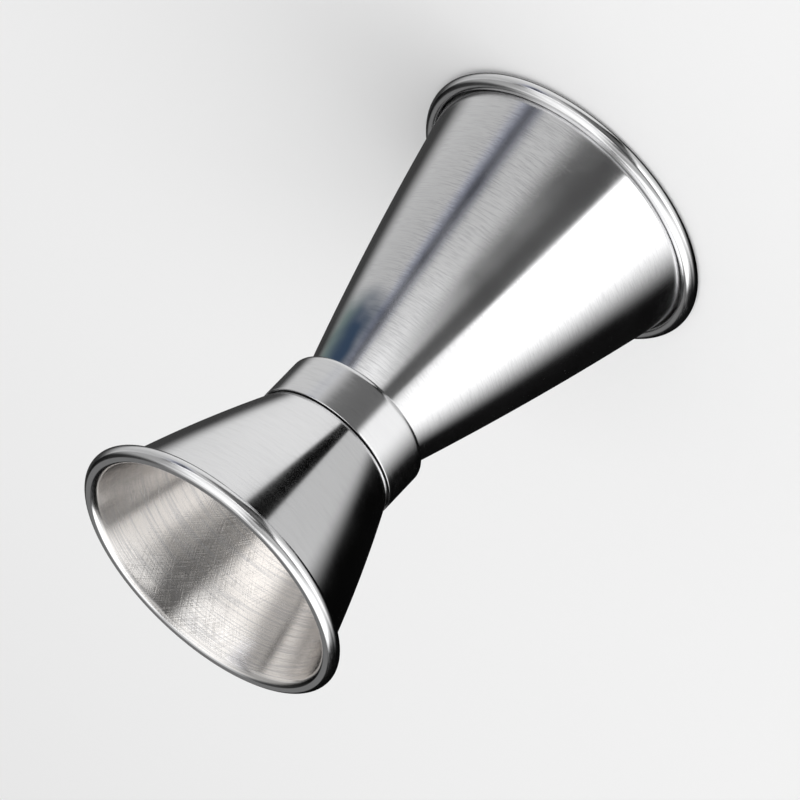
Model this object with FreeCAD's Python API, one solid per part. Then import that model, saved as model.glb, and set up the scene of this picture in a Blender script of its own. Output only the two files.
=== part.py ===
"""Double-ended bar jigger: two rolled-rim measuring cups joined floor to floor inside a waist collar.

The jigger stands on the rim of its large cup. Its axis is Z, the origin is the centre of that
rim's rest plane, and the small cup opens upwards. Every piece is turned about Z.
"""

import FreeCAD, Part
import math
import os

V = FreeCAD.Vector
ORIGIN = V(0, 0, 0)
AXIS = V(0, 0, 1)
QUARTER_TURN = 90.0
HALF_TURN = 180.0
FULL_TURN = 360.0

# Driving dimensions, millimetres and degrees.
HEIGHT = 86.2
SHEET = 0.55

# The sheet at each mouth is rolled outwards into an open bead, and its crown is worn to a flat land.
BEAD_RADIUS = 1.3
BEAD_TURN = 280.0
LAND_DEPTH = 0.05

LARGE_RIM_RADIUS = 25.4
LARGE_DEPTH = 52.6
LARGE_MOUTH_SLOPE = 12.4
LARGE_WALL_BOW = 613.0
LARGE_CORNER_RADIUS = 2.5

SMALL_RIM_RADIUS = 23.35
SMALL_MOUTH_SLOPE = 16.2
SMALL_WALL_BOW = 217.0
SMALL_CORNER_RADIUS = 2.0

BRAZE_THICKNESS = 0.3
BRAZE_RADIUS = 6.0

COLLAR_BOTTOM = 50.4
COLLAR_TOP = 58.6
COLLAR_SHEET = 0.45
COLLAR_SHOULDER_RADIUS = 1.2

# Derived sizes.
SMALL_DEPTH = HEIGHT - LARGE_DEPTH - 2 * SHEET - BRAZE_THICKNESS


def polar(centre, radius, angle):
    """Point at an angle, in degrees from the radial direction, on a circle in the XZ half plane."""
    turn = math.radians(angle)
    return centre + V(radius * math.cos(turn), 0, radius * math.sin(turn))


def arc(centre, radius, start, end):
    """Circular edge about a centre in the XZ half plane, from one angle to another."""
    middle = (start + end) / 2
    return Part.Arc(*[polar(centre, radius, a) for a in (start, middle, end)]).toShape()


def line(start, end):
    """Straight edge between two points."""
    return Part.LineSegment(start, end).toShape()


def turned(edges):
    """Solid of revolution about Z from the edges of a closed outline."""
    outline = Part.Wire(Part.__sortEdges__(edges))
    return Part.Face(outline).revolve(ORIGIN, AXIS, FULL_TURN)


class Cup:
    """A cup of drawn sheet, mouth down on z = 0, with a bowed wall and an outward rolled bead.

    Angles run from the radial direction, so the wall leans by `slope` at the mouth and by
    `heel` where it meets the floor's corner.
    """

    def __init__(self, rim_radius, depth, slope, bow, corner):
        self.slope = slope
        self.bow = bow
        self.corner = corner
        self.bead = V(rim_radius - BEAD_RADIUS, 0, BEAD_RADIUS - LAND_DEPTH)
        self.bead_start = slope + HALF_TURN
        self.bead_end = self.bead_start + BEAD_TURN
        self.bow_centre = polar(self.bead, BEAD_RADIUS + bow, self.bead_start)
        rise = depth - corner - self.bow_centre.z
        self.heel = math.degrees(math.asin(rise / (bow - corner)))
        self.corner_centre = polar(self.bow_centre, bow - corner, self.heel)

    def outer_radius_at(self, z):
        """Radius of the wall's outer face at a height above the mouth."""
        return self.bow_centre.x + math.sqrt((self.bow + SHEET) ** 2 - (z - self.bow_centre.z) ** 2)

    def skin(self, offset):
        """Edges of one face of the sheet, from the axis to the bead's cut edge.

        The inner face has offset 0 and the outer face has offset SHEET.
        """
        corner_radius = self.corner + offset
        pole = V(0, 0, self.corner_centre.z + corner_radius)
        return [
            line(pole, polar(self.corner_centre, corner_radius, QUARTER_TURN)),
            arc(self.corner_centre, corner_radius, QUARTER_TURN, self.heel),
            arc(self.bow_centre, self.bow + offset, self.heel, self.slope),
            arc(self.bead, BEAD_RADIUS - offset, self.bead_start, self.bead_end),
        ]

    def solid(self):
        """The cup as one solid, with the flat land cut on its rim."""
        inner = self.skin(0)
        outer = self.skin(SHEET)
        floor = self.corner_centre.z + self.corner
        floor_edge = line(V(0, 0, floor), V(0, 0, floor + SHEET))
        cut_edge = line(polar(self.bead, BEAD_RADIUS, self.bead_end),
                        polar(self.bead, BEAD_RADIUS - SHEET, self.bead_end))
        cup = turned(inner + outer + [floor_edge, cut_edge])
        below = Part.makeCylinder(self.bead.x + 2 * BEAD_RADIUS, BEAD_RADIUS, V(0, 0, -BEAD_RADIUS))
        return cup.cut(below)


def upended(shape):
    """The shape turned over, so that what stood on z = 0 hangs from the top of the jigger."""
    placed = shape.copy()
    placed.rotate(ORIGIN, V(1, 0, 0), HALF_TURN)
    placed.translate(V(0, 0, HEIGHT))
    return placed


def waist_collar(bore, lip):
    """Straight band round the joint, with a rounded shoulder turned in to the large cup's wall."""
    outside = bore + COLLAR_SHEET
    fillet = V(outside - COLLAR_SHOULDER_RADIUS, 0, COLLAR_BOTTOM + COLLAR_SHOULDER_RADIUS)
    inner_fillet = COLLAR_SHOULDER_RADIUS - COLLAR_SHEET
    inside_floor = COLLAR_BOTTOM + COLLAR_SHEET
    return turned([
        line(V(bore, 0, COLLAR_TOP), V(outside, 0, COLLAR_TOP)),
        line(V(outside, 0, COLLAR_TOP), V(outside, 0, fillet.z)),
        arc(fillet, COLLAR_SHOULDER_RADIUS, 0, -QUARTER_TURN),
        line(V(fillet.x, 0, COLLAR_BOTTOM), V(lip, 0, COLLAR_BOTTOM)),
        line(V(lip, 0, COLLAR_BOTTOM), V(lip, 0, inside_floor)),
        line(V(lip, 0, inside_floor), V(fillet.x, 0, inside_floor)),
        arc(fillet, inner_fillet, -QUARTER_TURN, 0),
        line(V(bore, 0, fillet.z), V(bore, 0, COLLAR_TOP)),
    ])


def bottom_braze():
    """Thin disc of braze between the floors of the two cups."""
    return Part.makeCylinder(BRAZE_RADIUS, BRAZE_THICKNESS, V(0, 0, LARGE_DEPTH + SHEET))


def main():
    """Build every piece and write it to its own file."""
    large = Cup(LARGE_RIM_RADIUS, LARGE_DEPTH, LARGE_MOUTH_SLOPE, LARGE_WALL_BOW, LARGE_CORNER_RADIUS)
    small = Cup(SMALL_RIM_RADIUS, SMALL_DEPTH, SMALL_MOUTH_SLOPE, SMALL_WALL_BOW, SMALL_CORNER_RADIUS)
    collar_bore = small.outer_radius_at(HEIGHT - COLLAR_TOP)
    collar_lip = large.outer_radius_at(COLLAR_BOTTOM)
    pieces = {
        "large_cup": large.solid(),
        "small_cup": upended(small.solid()),
        "waist_collar": waist_collar(collar_bore, collar_lip),
        "bottom_braze": bottom_braze(),
    }
    os.makedirs("parts", exist_ok=True)
    for name, piece in pieces.items():
        solid = piece.Solids[0]
        solid.exportStep(os.path.join("parts", name + ".step"))
        print(name, "valid", solid.isValid(), "volume mm3", round(solid.Volume, 2))
    print("collar bore", round(collar_bore, 3), "lip", round(collar_lip, 3))


main()
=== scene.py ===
"""Bar jigger: two turned steel cups joined floor to floor inside a waist collar.

The jigger stands on its large cup's rim at z = 0, and the small cup opens upwards. Sizes are in
metres in the frame's own axes, and angles are in degrees unless a name says otherwise.
"""

import logging
import math
from dataclasses import dataclass, field
from enum import Enum

import bmesh
import bpy
from mathutils import Matrix, Vector

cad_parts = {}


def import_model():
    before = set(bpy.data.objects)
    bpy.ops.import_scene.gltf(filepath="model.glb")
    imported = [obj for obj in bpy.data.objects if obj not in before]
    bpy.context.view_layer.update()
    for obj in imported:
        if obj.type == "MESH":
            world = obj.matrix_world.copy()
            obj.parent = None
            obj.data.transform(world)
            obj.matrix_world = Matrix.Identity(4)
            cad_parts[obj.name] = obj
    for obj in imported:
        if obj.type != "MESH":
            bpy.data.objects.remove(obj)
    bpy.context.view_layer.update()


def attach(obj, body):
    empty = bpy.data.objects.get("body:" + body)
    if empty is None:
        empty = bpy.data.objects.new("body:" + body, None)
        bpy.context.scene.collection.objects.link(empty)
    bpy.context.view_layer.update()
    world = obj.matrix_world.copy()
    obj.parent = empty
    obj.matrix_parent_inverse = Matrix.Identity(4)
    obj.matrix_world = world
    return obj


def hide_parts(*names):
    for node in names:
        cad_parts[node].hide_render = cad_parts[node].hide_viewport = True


LOG = logging.getLogger("jigger")
Socket = bpy.types.NodeSocket
Colour = tuple[float, float, float]
MM = 0.001
BODY = "root"

AXIS = Vector((0.0, 0.0, 1.0))
SIDEWAYS = Vector((0.0, -1.0, 0.0))
TURN_STEPS = 256
WELD = 1e-7
QUARTER_TURN = 90.0
HALF_TURN = 180.0

HEIGHT = 86.2 * MM
SHEET = 0.55 * MM
BEAD_RADIUS = 1.3 * MM
BEAD_TURN = 280.0
LAND_DEPTH = 0.05 * MM
LARGE_DEPTH = 52.6 * MM
SMALL_DEPTH = 32.2 * MM
COLLAR_BOTTOM = 50.4 * MM
COLLAR_TOP = 58.6 * MM


class Skin(Enum):
    """Which face of a cup a finish is for, and its place in the cup's list of materials."""

    OUTSIDE = 0
    INSIDE = 1
    BEAD = 2


# ---------------------------------------------------------------------------------------------
# Outlines and turning
# ---------------------------------------------------------------------------------------------


def polar(centre: Vector, radius: float, angle: float) -> Vector:
    """Finds a point on a circle in the half plane that is turned about the axis.

    Args:
        centre: The circle's centre, with its radial place in x and its height in z.
        radius: The circle's radius.
        angle: The angle from the radial direction towards the axis direction.

    Returns:
        The point, with y = 0.
    """
    turn = math.radians(angle)
    return centre + Vector((radius * math.cos(turn), 0.0, radius * math.sin(turn)))


class Outline:
    """An open or closed outline in the XZ half plane, drawn edge by edge in a bmesh."""

    def __init__(self, start: Vector) -> None:
        """Starts the outline at a point."""
        self.bm = bmesh.new()
        self.tip = self.bm.verts.new(start)

    def line_to(self, end: Vector, steps: int = 1) -> "Outline":
        """Draws a straight stretch.

        Args:
            end: Where the stretch ends.
            steps: How many edges it is divided into.

        Returns:
            The outline, so that stretches can be chained.
        """
        stride = (end - self.tip.co) / steps
        for _ in range(steps):
            grown = bmesh.ops.extrude_vert_indiv(self.bm, verts=[self.tip])
            self.tip = grown["verts"][0]
            bmesh.ops.translate(self.bm, verts=[self.tip], vec=stride)
        return self

    def arc(self, centre: Vector, angle: float, steps: int) -> "Outline":
        """Draws an arc that starts at the outline's tip.

        Args:
            centre: The arc's centre.
            angle: The angle turned through, positive from the radial direction to the axis.
            steps: How many edges the arc has.

        Returns:
            The outline, so that stretches can be chained.
        """
        swept = bmesh.ops.spin(
            self.bm,
            geom=[self.tip],
            cent=centre,
            axis=SIDEWAYS,
            angle=math.radians(angle),
            steps=steps,
            use_merge=False,
            use_duplicate=False,
        )
        self.tip = [g for g in swept["geom_last"] if isinstance(g, bmesh.types.BMVert)][0]
        return self

    def turned(self, steps: int = TURN_STEPS) -> bmesh.types.BMesh:
        """Turns the outline about the axis into a closed shell.

        Args:
            steps: How many facets the shell has round the axis.

        Returns:
            The shell, with its seam and poles closed and its faces pointing outwards.
        """
        bmesh.ops.remove_doubles(self.bm, verts=self.bm.verts[:], dist=WELD)
        bmesh.ops.spin(
            self.bm,
            geom=self.bm.verts[:] + self.bm.edges[:],
            cent=(0.0, 0.0, 0.0),
            axis=AXIS,
            angle=math.tau,
            steps=steps,
            use_merge=True,
            use_duplicate=False,
        )
        bmesh.ops.remove_doubles(self.bm, verts=self.bm.verts[:], dist=WELD)
        bmesh.ops.recalc_face_normals(self.bm, faces=self.bm.faces[:])
        return self.bm


def as_piece(name: str, bm: bmesh.types.BMesh,
             materials: list[bpy.types.Material]) -> bpy.types.Object:
    """Makes a smooth-shaded object of a finished bmesh, and frees the bmesh.

    Args:
        name: The piece's name.
        bm: The finished shape, in the frame's axes.
        materials: The piece's materials, in the order that its faces number them.

    Returns:
        The object, at the origin, unturned and unscaled.
    """
    mesh = bpy.data.meshes.new(name)
    for face in bm.faces:
        face.smooth = True
    bm.to_mesh(mesh)
    bm.free()
    for material in materials:
        mesh.materials.append(material)
    piece = bpy.data.objects.new(name, mesh)
    bpy.context.scene.collection.objects.link(piece)
    return piece


# ---------------------------------------------------------------------------------------------
# Finishes
# ---------------------------------------------------------------------------------------------


class Graph:
    """Short ways to add and link nodes in a material's or a world's node tree."""

    def __init__(self, tree: bpy.types.NodeTree) -> None:
        """Empties the tree and keeps it."""
        self.tree = tree
        tree.nodes.clear()

    def node(self, kind: str, **values: object) -> bpy.types.Node:
        """Adds a node.

        Args:
            kind: The node's type name, without its ShaderNode prefix.
            **values: Properties to set on the node itself.

        Returns:
            The new node.
        """
        added = self.tree.nodes.new("ShaderNode" + kind)
        for key, value in values.items():
            setattr(added, key, value)
        return added

    def link(self, source: Socket, target: Socket) -> None:
        """Links an output socket to an input socket."""
        self.tree.links.new(source, target)

    def feed(self, socket: Socket, value: object) -> None:
        """Links a socket to another, or sets its own value.

        Args:
            socket: The input socket.
            value: The output socket that feeds it, or the input's own value.
        """
        if isinstance(value, Socket):
            self.link(value, socket)
        else:
            socket.default_value = value

    def math(self, operation: str, *values: object, clamp: bool = False) -> Socket:
        """Adds a Math node.

        Args:
            operation: The Math node's operation.
            *values: A number or a socket for each input.
            clamp: Whether the result is held between 0 and 1.

        Returns:
            The result's socket.
        """
        made = self.node("Math", operation=operation, use_clamp=clamp)
        for socket, value in zip(made.inputs, values):
            self.feed(socket, value)
        return made.outputs[0]

    def ramp(self, value: object, low: float, high: float, to_low: float = 0.0,
             to_high: float = 1.0) -> Socket:
        """Adds a smooth step from one number to another.

        Args:
            value: The number or socket that the step depends on.
            low: Where the step starts.
            high: Where the step ends.
            to_low: The result before the step.
            to_high: The result after the step.

        Returns:
            The result's socket.
        """
        made = self.node("MapRange", interpolation_type="SMOOTHSTEP")
        for name, number in zip(("Value", "From Min", "From Max", "To Min", "To Max"),
                                (value, low, high, to_low, to_high)):
            self.feed(made.inputs[name], number)
        return made.outputs["Result"]

    def noise(self, vector: Socket, scale: float, detail: float,
              roughness: float = 0.5, distortion: float = 0.0) -> Socket:
        """Adds a Noise Texture.

        Args:
            vector: The coordinates that it reads.
            scale: Its scale.
            detail: How many finer layers it has.
            roughness: How strong the finer layers are.
            distortion: How much its coordinates are stirred.

        Returns:
            The socket of its grey value.
        """
        made = self.node("TexNoise")
        self.link(vector, made.inputs["Vector"])
        for name, number in zip(("Scale", "Detail", "Roughness", "Distortion"),
                                (scale, detail, roughness, distortion)):
            made.inputs[name].default_value = number
        return made.outputs["Fac"]

    def stretched(self, vector: Socket, scale: tuple[float, float, float],
                  turn: tuple[float, float, float] = (0.0, 0.0, 0.0)) -> Socket:
        """Adds a Mapping node that scales and turns coordinates.

        Args:
            vector: The coordinates.
            scale: The scale along each axis, per metre.
            turn: The turn about each axis.

        Returns:
            The socket of the new coordinates.
        """
        made = self.node("Mapping")
        self.link(vector, made.inputs["Vector"])
        made.inputs["Scale"].default_value = scale
        made.inputs["Rotation"].default_value = [math.radians(a) for a in turn]
        return made.outputs["Vector"]

    def split(self, vector: Socket) -> list[Socket]:
        """Splits a vector into its three parts.

        Args:
            vector: The vector.

        Returns:
            The sockets of its x, y and z.
        """
        made = self.node("SeparateXYZ")
        self.link(vector, made.inputs[0])
        return list(made.outputs)

    def bearing(self, x: Socket, y: Socket) -> Socket:
        """Returns the socket of a place's bearing in degrees, from the front towards +X."""
        return self.math("DEGREES", self.math("ARCTAN2", x, self.math("MULTIPLY", y, -1.0)))

    def window(self, value: object, start: float, end: float, soft: float) -> Socket:
        """Adds a soft-edged window.

        Args:
            value: The number or socket that the window depends on.
            start: Where the window starts, at half strength.
            end: Where it ends, at half strength.
            soft: Half the width of each soft edge.

        Returns:
            The socket of the window, 1 inside and 0 outside.
        """
        opens = self.ramp(value, start - soft, start + soft)
        closes = self.ramp(value, end - soft, end + soft, 1.0, 0.0)
        return self.math("MULTIPLY", opens, closes)

    def bump(self, height: Socket, depth: float) -> Socket:
        """Adds a Bump node.

        Args:
            height: The socket of the height.
            depth: How many metres a height of 1 stands for.

        Returns:
            The socket of the bumped normal.
        """
        made = self.node("Bump")
        made.inputs["Strength"].default_value = 1.0
        made.inputs["Distance"].default_value = depth
        self.link(height, made.inputs["Height"])
        return made.outputs["Normal"]

    def blend(self, factor: object, first: object, second: object) -> Socket:
        """Adds a Mix node for colours.

        Args:
            factor: How much of the second colour there is.
            first: A colour or a colour socket.
            second: A colour or a colour socket.

        Returns:
            The mixed colour's socket.
        """
        made = self.node("Mix", data_type="RGBA")
        self.feed(made.inputs[0], factor)
        self.feed(made.inputs[6], first)
        self.feed(made.inputs[7], second)
        return made.outputs[2]


@dataclass(frozen=True)
class TurnedSteel:
    """Stainless steel polished in a lathe: fine rings round the axis, scratches and light wear, and
    where set, painted sheen on one side and painted shade along a joint.
    """

    name: str
    colour: Colour = (0.77, 0.77, 0.775)
    shade: Colour = (0.60, 0.60, 0.61)
    roughness: float = 0.13
    anisotropy: float = 0.65
    grain_turn: float = 0.25
    cloud_scale: float = 90.0
    cloud_range: tuple[float, float] = (0.3, 0.7)
    cloud_roughness: float = 0.05

    ring_pitch: float = 0.2 * MM
    ring_length: float = 3.5 * MM
    ring_depth: float = 0.003 * MM
    ring_detail: float = 2.0
    ring_blend: float = 0.55
    ring_shade: float = 0.5
    ring_shade_range: tuple[float, float] = (0.42, 0.68)
    ring_roughness: float = 0.08
    ring_roughness_range: tuple[float, float] = (0.3, 0.8)
    coarse_pitch: float = 0.9 * MM
    coarse_stretch: float = 8.0
    coarse_depth: float = 0.0

    # The side where the brushing's colour shows most: partly real wear, and partly painted sheen
    # standing for the streaks that the key light picks out on that side.
    wear_and_sheen_side: tuple[float, ...] = ()
    wear_and_sheen_soft: float = 9.0
    brushing_off_sheen: float = 0.3

    hatching_depth: float = 0.0
    hatching_turns: tuple[float, float] = (52.0, -61.0)
    hatching_width: float = 0.15 * MM
    hatching_range: tuple[float, float] = (0.9, 1.4)
    hatching_roughness: float = 0.16
    hatching_side: tuple[float, float] = (146.0, 200.0)
    hatching_soft: float = 16.0

    scratch_radius: float = 20.0 * MM
    scratch_turns: tuple[float, ...] = (9.0, -21.0)
    scratch_length: float = 3.5 * MM
    scratch_width: float = 0.07 * MM
    scratch_level: float = 0.78
    scratch_fade: float = 0.08
    scratch_depth: float = 0.001 * MM
    scratch_shade: float = 0.25
    scratch_roughness: float = 0.08
    patch_scale: float = 130.0
    patch_range: tuple[float, float] = (0.35, 0.65)

    pit_spacing: float = 3.2 * MM
    pit_radius: float = 0.09 * MM
    pit_rarity: tuple[float, float] = (0.6, 0.7)

    # Joint line: painted shade, a dark and rougher ring where the collar meets the wall, standing
    # for the shade in the crevice between them.
    joint_height: float = 0.0
    joint_width: float = 0.3 * MM
    joint_soft: float = 0.04 * MM
    joint_shade_colour: Colour = (0.02, 0.02, 0.02)
    joint_roughness: float = 0.3

    heat_tint: float = 0.0
    heat_side: tuple[float, float] = (46.0, 80.0)
    heat_side_soft: float = 9.0
    heat_heights: tuple[float, float] = (43.5 * MM, 57.0 * MM)
    heat_height_soft: float = 4.0 * MM
    heat_cloud_scale: float = 160.0
    heat_side_drift: float = 12.0
    heat_height_drift: float = 7.0 * MM
    heat_change: tuple[float, float] = (58.0, 78.0)
    heat_blue: Colour = (0.02, 0.06, 0.13)
    heat_green: Colour = (0.22, 0.31, 0.29)

    def material(self) -> bpy.types.Material:
        """Builds the finish as a node material.

        Returns:
            The material.
        """
        made = bpy.data.materials.new(self.name)
        made.use_nodes = True
        g = Graph(made.node_tree)
        place = g.node("TexCoord").outputs["Object"]
        flat = self.unrolled(g, place)
        rings = self.rings(g, place, self.ring_pitch, self.ring_length)
        marks = self.scratches(g, place, flat)
        hatching = self.hatched(g, place, flat) if self.hatching_depth else None
        # painted shade: a dark line along the joint, standing for the shade in the crevice at the
        # collar
        painted_joint_shade = self.joint(g, place) if self.joint_height else None

        shader = g.node("BsdfPrincipled")
        shader.inputs["Metallic"].default_value = 1.0
        shader.inputs["Anisotropic"].default_value = self.anisotropy
        shader.inputs["Anisotropic Rotation"].default_value = self.grain_turn
        tangent = g.node("Tangent", direction_type="RADIAL", axis="Z")
        g.link(tangent.outputs[0], shader.inputs["Tangent"])
        g.link(self.tone(g, place, rings, marks, painted_joint_shade), shader.inputs["Base Color"])
        g.link(self.gloss(g, place, rings, marks, hatching, painted_joint_shade), shader.inputs["Roughness"])
        g.link(self.relief(g, place, rings, marks, hatching), shader.inputs["Normal"])
        g.link(shader.outputs[0], g.node("OutputMaterial").inputs["Surface"])
        return made

    def tone(self, g: Graph, place: Socket, rings: Socket, marks: Socket,
             painted_joint_shade: Socket | None) -> Socket:
        """Colours the steel: darker on brushing (strongest on one side, partly painted sheen),
        scratches and pits, with painted shade along the joint.

        Args:
            g: The material's graph.
            place: Object coordinates.
            rings: The fine rings.
            marks: The stray scratches.
            painted_joint_shade: The painted shade along the joint where the collar meets the wall,
                if the wall has one.

        Returns:
            The colour's socket.
        """
        dull = g.math("MULTIPLY", g.ramp(rings, *self.ring_shade_range), self.ring_shade)
        # partly painted sheen: the brushing is shaded strongest on one side, where the key light
        # picks it out
        if self.wear_and_sheen_side:
            dull = g.math("MULTIPLY", dull, self.wear_and_sheen(g, place))
        dull = g.math("ADD", dull, g.math("MULTIPLY", marks, self.scratch_shade), clamp=True)
        dull = g.math("MAXIMUM", dull, self.pits(g, place))
        colour = g.blend(dull, (*self.colour, 1.0), (*self.shade, 1.0))
        if self.heat_tint:
            colour = self.tinted(g, place, colour)
        # painted shade: the joint line darkens the colour where the crevice at the collar lies in
        # shade
        if painted_joint_shade is not None:
            colour = g.blend(painted_joint_shade, colour, (*self.joint_shade_colour, 1.0))
        return colour

    def gloss(self, g: Graph, place: Socket, rings: Socket, marks: Socket,
              hatching: Socket | None, painted_joint_shade: Socket | None) -> Socket:
        """Varies the roughness with wear, rings, scratches, hatching and the painted joint shade.

        Args:
            g: The material's graph.
            place: Object coordinates.
            rings: The fine rings.
            marks: The stray scratches.
            hatching: The scouring, if the wall has any.
            painted_joint_shade: The painted shade along the joint, if the wall has one.

        Returns:
            The roughness's socket.
        """
        clouds = g.ramp(g.noise(place, self.cloud_scale, detail=3.0), *self.cloud_range)
        fine = g.ramp(rings, *self.ring_roughness_range)
        wear = g.math("MULTIPLY_ADD", clouds, self.cloud_roughness, self.roughness)
        wear = g.math("MULTIPLY_ADD", fine, self.ring_roughness, wear)
        wear = g.math("MULTIPLY_ADD", marks, self.scratch_roughness, wear)
        if hatching is not None:
            wear = g.math("MULTIPLY_ADD", hatching, self.hatching_roughness, wear)
        if painted_joint_shade is not None:
            wear = g.math("MULTIPLY_ADD", painted_joint_shade, self.joint_roughness, wear)
        return wear

    def relief(self, g: Graph, place: Socket, rings: Socket, marks: Socket,
               hatching: Socket | None) -> Socket:
        """Raises the rings and cuts the scratches into the surface.

        Args:
            g: The material's graph.
            place: Object coordinates.
            rings: The fine rings.
            marks: The stray scratches.
            hatching: The scouring, if the wall has any.

        Returns:
            The socket of the bumped normal.
        """
        coarse = self.rings(g, place, self.coarse_pitch, self.coarse_stretch * self.ring_length)
        height = g.math("MULTIPLY", rings, self.ring_depth)
        height = g.math("MULTIPLY_ADD", coarse, self.coarse_depth, height)
        height = g.math("MULTIPLY_ADD", marks, -self.scratch_depth, height)
        if hatching is not None:
            height = g.math("MULTIPLY_ADD", hatching, self.hatching_depth, height)
        return g.bump(height, 1.0)

    def rings(self, g: Graph, place: Socket, pitch: float, length: float) -> Socket:
        """Draws fine broken rings round the axis.

        Args:
            g: The material's graph.
            place: Object coordinates.
            pitch: The rings' width, up the wall.
            length: How far a ring runs before it fades.

        Returns:
            The socket of the rings' grey value.
        """
        across = 1.0 / pitch
        along = 1.0 / length
        drawn_out = g.stretched(place, (along, along, across))
        return g.noise(drawn_out, 1.0, self.ring_detail, self.ring_blend)

    def unrolled(self, g: Graph, place: Socket) -> Socket:
        """Unrolls the wall: how far round it a place is, and how high.

        Args:
            g: The material's graph.
            place: Object coordinates.

        Returns:
            The socket of the unrolled coordinates, in metres.
        """
        x, y, z = g.split(place)
        turn = g.math("ARCTAN2", x, g.math("MULTIPLY", y, -1.0))
        flat = g.node("CombineXYZ")
        g.link(g.math("MULTIPLY", turn, self.scratch_radius), flat.inputs[0])
        g.link(z, flat.inputs[1])
        return flat.outputs[0]

    def grain(self, g: Graph, flat: Socket, turn: float, width: float) -> Socket:
        """Draws long thin streaks at an angle on the unrolled wall.

        Args:
            g: The material's graph.
            flat: The unrolled coordinates.
            turn: The streaks' angle.
            width: How wide a streak is.

        Returns:
            The socket of the streaks' grey value.
        """
        turned = g.stretched(flat, (1.0, 1.0, 1.0), (0.0, 0.0, turn))
        scale = (1.0 / self.scratch_length, 1.0 / width, 1.0)
        return g.noise(g.stretched(turned, scale), 1.0, detail=0.0)

    def scratches(self, g: Graph, place: Socket, flat: Socket) -> Socket:
        """Draws thin stray scratches, in patches.

        Args:
            g: The material's graph.
            place: Object coordinates.
            flat: The unrolled coordinates.

        Returns:
            The socket of the scratches' grey value, 1 on a scratch.
        """
        total: Socket | float = 0.0
        for turn in self.scratch_turns:
            grain = self.grain(g, flat, turn, self.scratch_width)
            layer = g.ramp(grain, self.scratch_level, self.scratch_level + self.scratch_fade)
            total = g.math("MAXIMUM", total, layer)
        patches = g.ramp(g.noise(place, self.patch_scale, detail=2.0), *self.patch_range)
        return g.math("MULTIPLY", total, patches)

    def hatched(self, g: Graph, place: Socket, flat: Socket) -> Socket:
        """Draws the light cross-hatching that scouring has left on one side.

        Args:
            g: The material's graph.
            place: Object coordinates.
            flat: The unrolled coordinates.

        Returns:
            The socket of the hatching's grey value.
        """
        first, second = (self.grain(g, flat, turn, self.hatching_width)
                         for turn in self.hatching_turns)
        x, y, _ = g.split(place)
        turn = g.math("ABSOLUTE", g.bearing(x, y))
        side = g.window(turn, *self.hatching_side, self.hatching_soft)
        lines = g.ramp(g.math("ADD", first, second), *self.hatching_range)
        return g.math("MULTIPLY", lines, side)

    def pits(self, g: Graph, place: Socket) -> Socket:
        """Draws a few tiny dark pits.

        Args:
            g: The material's graph.
            place: Object coordinates.

        Returns:
            The socket of the pits' grey value, 1 in a pit.
        """
        cells = g.node("TexVoronoi", feature="F1")
        g.link(place, cells.inputs["Vector"])
        cells.inputs["Scale"].default_value = 1.0 / self.pit_spacing
        reach = self.pit_radius / self.pit_spacing
        spot = g.ramp(cells.outputs["Distance"], reach, reach / 2)
        chosen = g.ramp(g.split(cells.outputs["Color"])[0], *self.pit_rarity)
        return g.math("MULTIPLY", spot, chosen)

    def wear_and_sheen(self, g: Graph, place: Socket) -> Socket:
        """Picks out the side of the wall where the brushing shows most. This is partly real wear
        and partly painted sheen, because there the brushing stands for the streaks that the key
        light raises.

        Args:
            g: The material's graph.
            place: Object coordinates.

        Returns:
            The socket of how strongly the brushing shows.
        """
        x, y, _ = g.split(place)
        side = g.window(g.bearing(x, y), *self.wear_and_sheen_side, self.wear_and_sheen_soft)
        return g.math("MULTIPLY_ADD", side, 1.0 - self.brushing_off_sheen, self.brushing_off_sheen)

    def joint(self, g: Graph, place: Socket) -> Socket:
        """Draws painted shade: a dark line at the joint where the collar meets the wall, standing
        for the shade in the crevice between them.

        Args:
            g: The material's graph.
            place: Object coordinates.

        Returns:
            The socket of the line's grey value.
        """
        z = g.split(place)[2]
        half = self.joint_width / 2
        return g.window(z, self.joint_height - half, self.joint_height + half, self.joint_soft)

    def tinted(self, g: Graph, place: Socket, colour: Socket) -> Socket:
        """Adds the blue heat tint that brazing left near the waist.

        Args:
            g: The material's graph.
            place: Object coordinates.
            colour: The steel's colour.

        Returns:
            The tinted colour's socket.
        """
        x, y, z = g.split(place)
        stain = g.noise(place, self.heat_cloud_scale, detail=2.0)
        drift = g.math("MULTIPLY_ADD", stain, self.heat_side_drift, g.bearing(x, y))
        lift = g.math("MULTIPLY_ADD", stain, self.heat_height_drift, z)
        side = g.window(drift, *self.heat_side, self.heat_side_soft)
        up = g.window(lift, *self.heat_heights, self.heat_height_soft)
        patch = g.math("MULTIPLY", g.math("MULTIPLY", side, up), self.heat_tint)
        change = g.ramp(drift, *self.heat_change)
        hue = g.blend(change, (*self.heat_blue, 1.0), (*self.heat_green, 1.0))
        return g.blend(patch, colour, hue)


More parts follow.
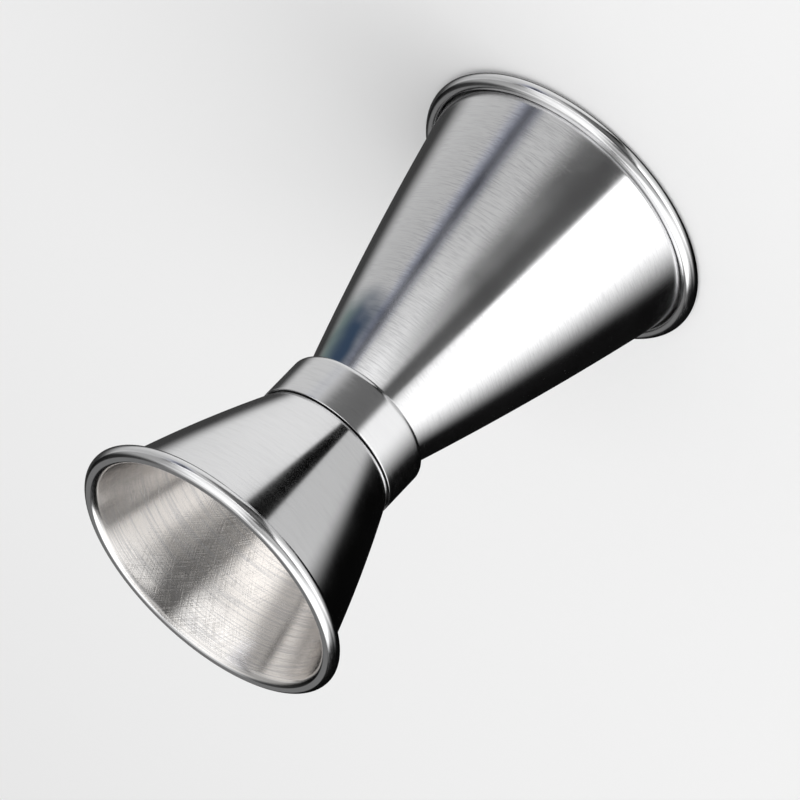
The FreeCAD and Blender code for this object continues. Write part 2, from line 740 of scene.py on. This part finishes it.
@dataclass(frozen=True)
class BrazeMetal:
    """Dull, slightly brassy braze metal with a grainy, wrinkled surface."""

    name: str = "braze_metal"
    bright: Colour = (0.62, 0.58, 0.5)
    dark: Colour = (0.45, 0.4, 0.32)
    grain_scale: float = 2400.0
    grain_range: tuple[float, float] = (0.3, 0.7)
    grain_depth: float = 0.03 * MM
    wrinkle_scale: float = 500.0
    wrinkle_stir: float = 0.6
    roughness: tuple[float, float] = (0.38, 0.6)

    def material(self) -> bpy.types.Material:
        """Builds the finish as a node material.

        Returns:
            The material.
        """
        made = bpy.data.materials.new(self.name)
        made.use_nodes = True
        g = Graph(made.node_tree)
        place = g.node("TexCoord").outputs["Object"]
        grain = g.noise(place, self.grain_scale, detail=4.0)
        wrinkles = g.noise(place, self.wrinkle_scale, detail=2.0, distortion=self.wrinkle_stir)
        colour = g.blend(wrinkles, (*self.bright, 1.0), (*self.dark, 1.0))
        shader = g.node("BsdfPrincipled")
        shader.inputs["Metallic"].default_value = 1.0
        g.link(colour, shader.inputs["Base Color"])
        g.link(g.ramp(grain, *self.grain_range, *self.roughness), shader.inputs["Roughness"])
        g.link(g.bump(grain, self.grain_depth), shader.inputs["Normal"])
        g.link(shader.outputs[0], g.node("OutputMaterial").inputs["Surface"])
        return made


# ---------------------------------------------------------------------------------------------
# Pieces
# ---------------------------------------------------------------------------------------------


@dataclass
class Cup:
    """A cup of one drawn sheet, mouth down on z = 0: floor, bowed wall and outward rolled bead."""

    name: str
    slot: str
    rim_radius: float
    depth: float
    slope: float
    bow: float
    corner: float
    outside: TurnedSteel
    inside: TurnedSteel
    bead: TurnedSteel
    upended: bool = False
    floor_steps: int = 12
    corner_steps: int = 10
    wall_steps: int = 60
    bead_steps: tuple[int, int] = (44, 30)
    edge_steps: int = 12
    bead_reach: float = 1.02
    bead_facing: float = -0.6

    def __post_init__(self) -> None:
        """Works out the centres of the bead, the bowed wall and the floor's corner."""
        self.bead_centre = Vector((self.rim_radius - BEAD_RADIUS, 0.0, BEAD_RADIUS - LAND_DEPTH))
        self.bow_centre = polar(self.bead_centre, BEAD_RADIUS + self.bow, self.slope + HALF_TURN)
        rise = self.depth - self.corner - self.bow_centre.z
        self.heel = math.degrees(math.asin(rise / (self.bow - self.corner)))
        self.corner_centre = polar(self.bow_centre, self.bow - self.corner, self.heel)

    def outer_radius_at(self, z: float) -> float:
        """Returns the wall's outer radius at a height above the mouth."""
        return self.bow_centre.x + math.sqrt((self.bow + SHEET) ** 2 - (z - self.bow_centre.z) ** 2)

    def outline(self) -> Outline:
        """Draws the sheet's section: inner face, round the bead, and back along the outer face.

        Returns:
            The outline, from the floor's inner middle to its outer middle.
        """
        wall_turn = self.heel - self.slope
        outer_steps, inner_steps = self.bead_steps
        sheet = Outline(Vector((0.0, 0.0, self.depth)))
        sheet.line_to(Vector((self.corner_centre.x, 0.0, self.depth)), self.floor_steps)
        sheet.arc(self.corner_centre, self.heel - QUARTER_TURN, self.corner_steps)
        sheet.arc(self.bow_centre, -wall_turn, self.wall_steps)
        sheet.arc(self.bead_centre, BEAD_TURN, outer_steps)
        sheet.arc(self.cut_edge_centre(), HALF_TURN, self.edge_steps)
        sheet.arc(self.bead_centre, -BEAD_TURN, inner_steps)
        sheet.arc(self.bow_centre, wall_turn, self.wall_steps)
        sheet.arc(self.corner_centre, QUARTER_TURN - self.heel, self.corner_steps)
        return sheet.line_to(Vector((0.0, 0.0, self.depth + SHEET)), self.floor_steps)

    def cut_edge_centre(self) -> Vector:
        """Returns the middle of the sheet's rounded cut edge, at the end of the bead."""
        end = self.slope + HALF_TURN + BEAD_TURN
        return polar(self.bead_centre, BEAD_RADIUS - SHEET / 2, end)

    def build(self) -> bpy.types.Object:
        """Builds the cup in its place in the jigger.

        Returns:
            The finished piece.
        """
        bm = self.outline().turned()
        self.press_land(bm)
        self.number_faces(bm)
        if self.upended:
            over = Matrix.Rotation(math.pi, 3, "X")
            bmesh.ops.rotate(bm, verts=bm.verts[:], cent=(0.0, 0.0, 0.0), matrix=over)
            bmesh.ops.translate(bm, verts=bm.verts[:], vec=(0.0, 0.0, HEIGHT))
        finishes = (self.outside, self.inside, self.bead)
        return as_piece(self.name, bm, [finish.material() for finish in finishes])

    def press_land(self, bm: bmesh.types.BMesh) -> None:
        """Flattens the crown of the bead onto the mouth's plane."""
        for vert in bm.verts:
            vert.co.z = max(vert.co.z, 0.0)

    def number_faces(self, bm: bmesh.types.BMesh) -> None:
        """Gives each face the number of its finish.

        Args:
            bm: The cup's shape, mouth down.
        """
        for face in bm.faces:
            middle = face.calc_center_median()
            radial = Vector((middle.x, middle.y, 0.0))
            reach = Vector((radial.length, 0.0, middle.z)) - self.bead_centre
            outward = face.normal.dot(radial)
            on_bead = reach.length < BEAD_RADIUS * self.bead_reach
            if on_bead and outward > self.bead_facing * radial.length:
                face.material_index = Skin.BEAD.value
            elif outward + face.normal.z * SHEET > 0.0:
                face.material_index = Skin.OUTSIDE.value
            else:
                face.material_index = Skin.INSIDE.value


@dataclass
class WaistCollar:
    """A straight band round the joint, with a shoulder turned in to the large cup's wall."""

    bore: float
    lip: float
    finish: TurnedSteel
    name: str = "collar_band"
    slot: str = "collar_steel"
    bottom: float = COLLAR_BOTTOM
    top: float = COLLAR_TOP
    sheet: float = 0.45 * MM
    shoulder: float = 1.2 * MM
    edge_round: float = 0.1 * MM
    edge_steps: int = 6
    crown_steps: int = 2
    wall_steps: int = 24
    bore_steps: int = 10
    shoulder_steps: tuple[int, int] = (20, 12)
    lip_steps: int = 3
    lip_edge_steps: int = 2

    def build(self) -> bpy.types.Object:
        """Builds the band.

        Returns:
            The finished piece.
        """
        outside = self.bore + self.sheet
        outer_steps, inner_steps = self.shoulder_steps
        fillet = Vector((outside - self.shoulder, 0.0, self.bottom + self.shoulder))
        crest = Vector((outside - self.edge_round, 0.0, self.top - self.edge_round))
        inner_crest = Vector((self.bore + self.edge_round, 0.0, self.top - self.edge_round))
        band = Outline(Vector((self.bore, 0.0, inner_crest.z)))
        band.arc(inner_crest, -QUARTER_TURN, self.edge_steps)
        band.line_to(Vector((crest.x, 0.0, self.top)), self.crown_steps)
        band.arc(crest, -QUARTER_TURN, self.edge_steps)
        band.line_to(Vector((outside, 0.0, fillet.z)), self.wall_steps)
        band.arc(fillet, -QUARTER_TURN, outer_steps)
        band.line_to(Vector((self.lip, 0.0, self.bottom)), self.lip_steps)
        band.line_to(Vector((self.lip, 0.0, self.bottom + self.sheet)), self.lip_edge_steps)
        band.line_to(Vector((fillet.x, 0.0, self.bottom + self.sheet)), self.lip_steps)
        band.arc(fillet, QUARTER_TURN, inner_steps)
        band.line_to(Vector((self.bore, 0.0, inner_crest.z)), self.bore_steps)
        return as_piece(self.name, band.turned(), [self.finish.material()])


@dataclass
class BottomBraze:
    """The puddle of braze metal between the cups' floors, with an uneven, rounded edge."""

    finish: BrazeMetal
    name: str = "braze_puddle"
    slot: str = "braze"
    radius: float = 6.0 * MM
    base: float = LARGE_DEPTH + SHEET
    thickness: float = 0.3 * MM
    lobes: tuple[int, ...] = (3, 5, 8)
    unevenness: float = 0.04
    steps: int = 8
    facets: int = 96

    def build(self) -> bpy.types.Object:
        """Builds the puddle.

        Returns:
            The finished piece.
        """
        half = self.thickness / 2
        belly = Vector((self.radius - half, 0.0, self.base + half))
        puddle = Outline(Vector((0.0, 0.0, self.base)))
        puddle.line_to(Vector((belly.x, 0.0, self.base)), self.steps)
        puddle.arc(belly, HALF_TURN, self.steps)
        puddle.line_to(Vector((0.0, 0.0, self.base + self.thickness)), self.steps)
        bm = puddle.turned(self.facets)
        for vert in bm.verts:
            turn = math.atan2(vert.co.y, vert.co.x)
            wave = sum(1.0 - math.cos(lobe * turn + lobe) for lobe in self.lobes)
            shrink = 1.0 - self.unevenness * wave / len(self.lobes)
            vert.co.x *= shrink
            vert.co.y *= shrink
        return as_piece(self.name, bm, [self.finish.material()])


def large_cup() -> Cup:
    """Returns the large cup, which the jigger stands on."""
    return Cup(
        name="large_cup_shell",
        slot="large_cup_steel",
        rim_radius=25.385 * MM,
        depth=LARGE_DEPTH,
        slope=12.4,
        bow=613.0 * MM,
        corner=2.5 * MM,
        outside=TurnedSteel(
            "large_outside", ring_pitch=0.15 * MM, ring_length=2.6 * MM, ring_depth=0.0005 * MM,
            # the bearings where the brushing shows most, partly painted sheen from the key light
            ring_roughness=0.04, ring_shade=0.9, wear_and_sheen_side=(12.0, 48.0), heat_tint=0.95,
            # the height of the painted shade line under the collar's shoulder
            joint_height=COLLAR_BOTTOM - 0.12 * MM),
        inside=TurnedSteel("large_inside", roughness=0.22, coarse_depth=0.01 * MM),
        bead=TurnedSteel("large_bead", roughness=0.1, anisotropy=0.2, ring_shade=0.2),
    )


def small_cup() -> Cup:
    """Returns the small cup, which opens upwards."""
    return Cup(
        name="small_cup_shell",
        slot="small_cup_steel",
        rim_radius=23.35 * MM,
        depth=SMALL_DEPTH,
        slope=16.2,
        bow=217.0 * MM,
        corner=2.0 * MM,
        outside=TurnedSteel(
            "small_outside", roughness=0.1, ring_depth=0.0004 * MM, ring_roughness=0.03,
            ring_shade=0.15, scratch_level=0.84, scratch_radius=16.0 * MM,
            # the height of the painted shade line above the collar's top edge
            joint_height=COLLAR_TOP + 0.1 * MM),
        inside=TurnedSteel(
            "small_inside", colour=(0.82, 0.795, 0.77), roughness=0.13, ring_pitch=0.2 * MM,
            ring_length=10.0 * MM, ring_depth=0.0045 * MM, ring_shade=0.7, coarse_pitch=0.9 * MM,
            coarse_depth=0.009 * MM, scratch_level=0.72, scratch_radius=16.0 * MM,
            hatching_depth=0.005 * MM),
        bead=TurnedSteel("small_bead", roughness=0.1, anisotropy=0.2, ring_shade=0.2),
        upended=True,
    )


def collar_between(large: Cup, small: Cup) -> WaistCollar:
    """Makes a collar that meets both cups' walls.

    Args:
        large: The cup that the collar's lip meets.
        small: The cup that the collar's bore meets.

    Returns:
        The collar.
    """
    finish = TurnedSteel(
        "collar", roughness=0.12, ring_depth=0.0004 * MM, ring_shade=0.2, scratch_level=0.82,
        scratch_radius=12.0 * MM)
    return WaistCollar(
        bore=small.outer_radius_at(HEIGHT - COLLAR_TOP),
        lip=large.outer_radius_at(COLLAR_BOTTOM),
        finish=finish,
    )


@dataclass
class Jigger:
    """The whole jigger: it makes the pieces and ties each one to the frame's node."""

    large: Cup = field(default_factory=large_cup)
    small: Cup = field(default_factory=small_cup)

    def build(self) -> None:
        """Builds every piece and hands it to the frame."""
        makers = {
            "large_cup": self.large,
            "small_cup": self.small,
            "waist_collar": collar_between(self.large, self.small),
            "bottom_braze": BottomBraze(BrazeMetal()),
        }
        for node, maker in makers.items():
            piece = maker.build()
            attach(piece, BODY)
            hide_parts(node)
            LOG.info("%s: %d faces, stands for %s", piece.name, len(piece.data.polygons), node)


# ---------------------------------------------------------------------------------------------
# Studio
# ---------------------------------------------------------------------------------------------


@dataclass(frozen=True)
class Edge:
    """An upright edge of a light card: its bearing and its softness at each studio elevation.

    Bearings run round the axis from the front towards +X.
    """

    bearings: tuple[float, ...]
    softness: tuple[float, ...]


@dataclass(frozen=True)
class Card:
    """A soft light card between two edges, with its brightness at each studio elevation."""

    name: str
    start: Edge
    end: Edge
    levels: tuple[float, ...]
    both_sides: bool = False


@dataclass
class Studio:
    """Plain pale floor, soft overhead light, and soft light cards that the steel mirrors."""

    ELEVATIONS = (-60.0, -27.0, -6.0, 3.5, 8.0, 14.0, 30.0, 42.0, 64.0)
    STOPS = len(ELEVATIONS)
    KEY_START = Edge((-84.0, -78.0, -83.0, -85.0, -88.0, -100.0, -112.0, -158.0, -150.0),
                     (16.0, 28.0, 36.0, 36.0, 20.0, 20.0, 16.0, 14.0, 16.0))
    KEY_END = Edge((-6.0, -13.0, -17.5, -17.5, -26.0, -52.0, -61.0, -66.0, -30.0),
                   (2.0, 6.0, 2.0, 2.0, 5.0, 14.0, 22.0, 30.0, 16.0))
    FILL_END = Edge((24.5, 55.0, 24.5, 24.5, 3.0, -2.0, -7.0, 8.0, 20.0),
                    (2.5, 14.0, 11.0, 11.0, 6.0, 5.0, 3.0, 14.0, 12.0))
    STRIP_START = Edge((24.5, 55.0, 24.5, 24.5, 3.0, 4.0, 9.0, 8.0, 20.0),
                       (2.5, 14.0, 11.0, 11.0, 6.0, 8.0, 10.0, 14.0, 12.0))
    STRIP_END = Edge((70.0, 70.0, 59.0, 59.0, 74.0, 74.0, 77.0, 78.0, 70.0),
                     (5.0, 5.0, 9.0, 9.0, 6.0, 8.0, 13.0, 16.0, 10.0))
    SIDE_START = Edge((70.0, 70.0, 72.0, 72.0, 84.0, 80.0, 79.0, 78.0, 70.0),
                      (5.0, 5.0, 8.0, 8.0, 6.0, 8.0, 13.0, 16.0, 10.0))
    SIDE_END = Edge((138.0, 130.0, 134.0, 134.0, 140.0, 130.0, 126.0, 124.0, 120.0),
                    (14.0,) * STOPS)
    BEHIND_START = Edge((168.0, 168.0, 168.0, 168.0, 168.0, 168.0, 165.0, 164.0, 120.0),
                        (6.0,) * STOPS)
    RING_START = Edge((-10.0,) * STOPS, (1.0,) * STOPS)
    RING_END = Edge((200.0,) * STOPS, (1.0,) * STOPS)

    floor_size: float = 12.0
    floor_colour: Colour = (0.8, 0.8, 0.8)
    floor_roughness: float = 0.9
    floor_shine: float = 0.1
    lamp_size: float = 0.9
    lamp_power: float = 6.0
    lamp_place: tuple[float, float, float] = (-0.35, -0.25, 0.9)
    lamp_aim: tuple[float, float, float] = (0.0, 0.0, 0.03)
    backdrop: Colour = (0.69, 0.69, 0.69)
    horizon: Colour = (0.55, 0.55, 0.55)
    horizon_height: float = 12.0
    card_colour: Colour = (1.0, 1.0, 1.0)
    gap_colour: Colour = (0.87, 0.92, 1.15)
    gap: tuple[float, float] = (60.0, 76.0)
    gap_height: tuple[float, float] = (-22.0, 6.0)
    gap_soft: float = 6.0
    base_level: float = 0.002
    cards: tuple[Card, ...] = (
        Card("key", KEY_START, KEY_END, (0.64, 1.08, 2.4, 1.6, 1.15, 0.9, 1.45, 1.9, 1.1)),
        Card("front_fill", KEY_END, FILL_END, (0.0, 0.17, 0.08, 0.08, 0.14, 0.1, 0.65, 0.55, 0.1)),
        Card("strip", STRIP_START, STRIP_END, (0.92, 0.7, 0.6, 0.62, 1.8, 0.9, 1.1, 1.25, 1.1)),
        Card("side", SIDE_START, SIDE_END, (0.92, 0.7, 0.55, 0.58, 0.7, 0.4, 0.4, 0.4, 0.9)),
        Card("rear_fill", SIDE_END, RING_END, (0.06, 0.05, 0.04, 0.03, 0.0, 0.0, 0.0, 0.0, 0.0)),
        Card("overhead", RING_START, RING_END, (0.0, 0.0, 0.0, 0.0, 0.0, 0.0, 0.02, 0.05, 0.3),
             both_sides=True),
        Card("behind", BEHIND_START, RING_END, (0.0, 0.0, 0.0, 0.0, 0.1, 0.2, 0.17, 0.16, 0.35),
             both_sides=True),
    )

    def build(self) -> None:
        """Makes the floor, the lamp and the world."""
        self.make_floor()
        self.make_lamp()
        self.make_world()

    def make_floor(self) -> None:
        """Makes the floor, which the steel doesn't mirror."""
        bm = bmesh.new()
        bmesh.ops.create_grid(bm, x_segments=2, y_segments=2, size=self.floor_size / 2)
        material = bpy.data.materials.new("pale_floor")
        material.use_nodes = True
        g = Graph(material.node_tree)
        shader = g.node("BsdfPrincipled")
        shader.inputs["Base Color"].default_value = (*self.floor_colour, 1.0)
        shader.inputs["Roughness"].default_value = self.floor_roughness
        shader.inputs["Specular IOR Level"].default_value = self.floor_shine
        g.link(shader.outputs[0], g.node("OutputMaterial").inputs["Surface"])
        floor = as_piece("floor", bm, [material])
        floor.visible_glossy = False

    def make_lamp(self) -> None:
        """Makes the soft lamp overhead."""
        light = bpy.data.lights.new("overhead", "AREA")
        light.size = self.lamp_size
        light.energy = self.lamp_power
        lamp = bpy.data.objects.new("overhead", light)
        lamp.location = self.lamp_place
        beam = Vector(self.lamp_aim) - lamp.location
        lamp.rotation_euler = beam.to_track_quat("-Z", "Y").to_euler()
        lamp.visible_glossy = False
        bpy.context.scene.collection.objects.link(lamp)

    def make_world(self) -> None:
        """Makes the world: an even backdrop, and the light cards for mirrored rays."""
        world = bpy.data.worlds.new("studio")
        world.use_nodes = True
        bpy.context.scene.world = world
        g = Graph(world.node_tree)
        x, y, z = g.split(g.node("TexCoord").outputs["Generated"])
        bearing = g.bearing(x, y)
        elevation = g.math("DEGREES", g.math("ARCSINE", z))
        choice = g.node("MixShader")
        g.link(g.node("LightPath").outputs["Is Glossy Ray"], choice.inputs[0])
        g.link(self.even_light(g, elevation), choice.inputs[1])
        g.link(self.mirrored_light(g, bearing, elevation), choice.inputs[2])
        g.link(choice.outputs[0], g.node("OutputWorld").inputs["Surface"])

    def even_light(self, g: Graph, elevation: Socket) -> Socket:
        """Adds the even backdrop, which meets the floor's own brightness at the horizon.

        Args:
            g: The world's graph.
            elevation: The direction's elevation.

        Returns:
            The backdrop's socket.
        """
        even = g.node("Background")
        rise = g.ramp(elevation, 0.0, self.horizon_height)
        tone = g.blend(rise, (*self.horizon, 1.0), (*self.backdrop, 1.0))
        g.link(tone, even.inputs["Color"])
        return even.outputs[0]

    def mirrored_light(self, g: Graph, bearing: Socket, elevation: Socket) -> Socket:
        """Adds all the light cards, with a cool tint in the gap between two of them.

        Args:
            g: The world's graph.
            bearing: The direction's bearing.
            elevation: The direction's elevation.

        Returns:
            The socket of the cards' light.
        """
        total: Socket | float = self.base_level
        for card in self.cards:
            total = g.math("ADD", total, self.card_light(g, card, bearing, elevation))
        round_it = g.window(bearing, *self.gap, self.gap_soft)
        up_it = g.window(elevation, *self.gap_height, self.gap_soft)
        tint = g.math("MULTIPLY", round_it, up_it)
        tone = g.blend(tint, (*self.card_colour, 1.0), (*self.gap_colour, 1.0))
        cards = g.node("Background")
        g.link(tone, cards.inputs["Color"])
        g.link(total, cards.inputs["Strength"])
        return cards.outputs[0]

    def card_light(self, g: Graph, card: Card, bearing: Socket,
                   elevation: Socket) -> Socket:
        """Adds one light card.

        Args:
            g: The world's graph.
            card: The card.
            bearing: The direction's bearing.
            elevation: The direction's elevation.

        Returns:
            The socket of the card's brightness in that direction.
        """
        if card.both_sides:
            bearing = g.math("ABSOLUTE", bearing)
        opens = self.past(g, card.start, bearing, elevation)
        closes = g.math("SUBTRACT", 1.0, self.past(g, card.end, bearing, elevation))
        level = self.by_elevation(g, elevation, card.levels)
        return g.math("MULTIPLY", g.math("MULTIPLY", opens, closes), level)

    def past(self, g: Graph, edge: Edge, bearing: Socket,
             elevation: Socket) -> Socket:
        """Adds a soft step at a card's edge.

        Args:
            g: The world's graph.
            edge: The edge.
            bearing: The direction's bearing.
            elevation: The direction's elevation.

        Returns:
            The socket of the step, 0 before the edge and 1 past it.
        """
        middle = self.by_elevation(g, elevation, edge.bearings)
        soft = self.by_elevation(g, elevation, edge.softness)
        return g.ramp(g.math("DIVIDE", g.math("SUBTRACT", bearing, middle), soft), -1.0, 1.0)

    def by_elevation(self, g: Graph, elevation: Socket,
                     values: tuple[float, ...]) -> Socket:
        """Adds a number that changes smoothly with elevation.

        Args:
            g: The world's graph.
            elevation: The direction's elevation.
            values: The number at each of the studio's elevations.

        Returns:
            The number's socket.
        """
        total: Socket | float = values[0]
        stops = zip(self.ELEVATIONS, self.ELEVATIONS[1:], values, values[1:])
        for low, high, before, after in stops:
            reach = g.ramp(elevation, low, high)
            total = g.math("MULTIPLY_ADD", reach, after - before, total)
        return total


@dataclass
class Viewpoint:
    """The camera: a long lens over the small cup, rolled so that the jigger lies aslant."""

    place: tuple[float, float, float] = (0.0, -0.73358, 0.42257)
    aim: tuple[float, float, float] = (-0.00264, 0.0, 0.04375)
    roll: float = -136.19
    lens: float = 251.72
    sensor: float = 36.0
    clip: tuple[float, float] = (0.01, 50.0)

    def build(self) -> None:
        """Makes the camera and gives it to the scene."""
        data = bpy.data.cameras.new("camera")
        data.lens = self.lens
        data.sensor_width = self.sensor
        data.clip_start, data.clip_end = self.clip
        camera = bpy.data.objects.new("camera", data)
        look = (Vector(self.aim) - Vector(self.place)).to_track_quat("-Z", "Y").to_matrix()
        turn = look @ Matrix.Rotation(math.radians(self.roll), 3, "Z")
        camera.matrix_world = Matrix.Translation(self.place) @ turn.to_4x4()
        bpy.context.scene.collection.objects.link(camera)
        bpy.context.scene.camera = camera


def main() -> None:
    """Builds the jigger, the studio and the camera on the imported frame."""
    logging.basicConfig(level=logging.INFO, format="%(message)s")
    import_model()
    Viewpoint().build()
    Jigger().build()
    Studio().build()
    bpy.context.scene.view_settings.view_transform = "Standard"


if __name__ == "__main__":
    main()
